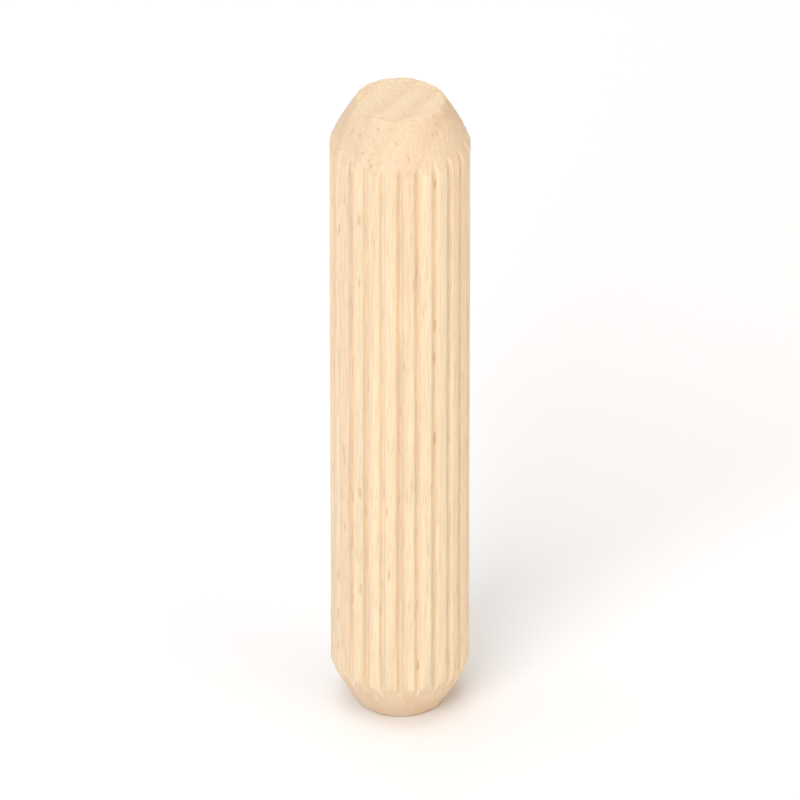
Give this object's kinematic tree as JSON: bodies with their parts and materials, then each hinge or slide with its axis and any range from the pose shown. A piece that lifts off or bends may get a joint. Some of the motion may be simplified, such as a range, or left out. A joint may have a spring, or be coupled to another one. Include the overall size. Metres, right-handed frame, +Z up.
{
  "type": "dowel pin",
  "caption": "Short round wooden pin with straight lengthwise glue flutes and a rounded bevel at each end, glued into drilled holes to join two boards.",
  "frame": {"origin": "middle of the lower sawn end face, on the surface that the pin stands on", "axes": "+Z up along the pin's axis; +X and +Y each point through a flute"},
  "size_m": [0.008, 0.008, 0.04],
  "materials": {
    "pale_wood": "bare matte beech or birch, with fine grain along the pin"
  },
  "bodies": {
    "root": {"dowel_pin": "pale_wood"}
  },
  "joints": []
}
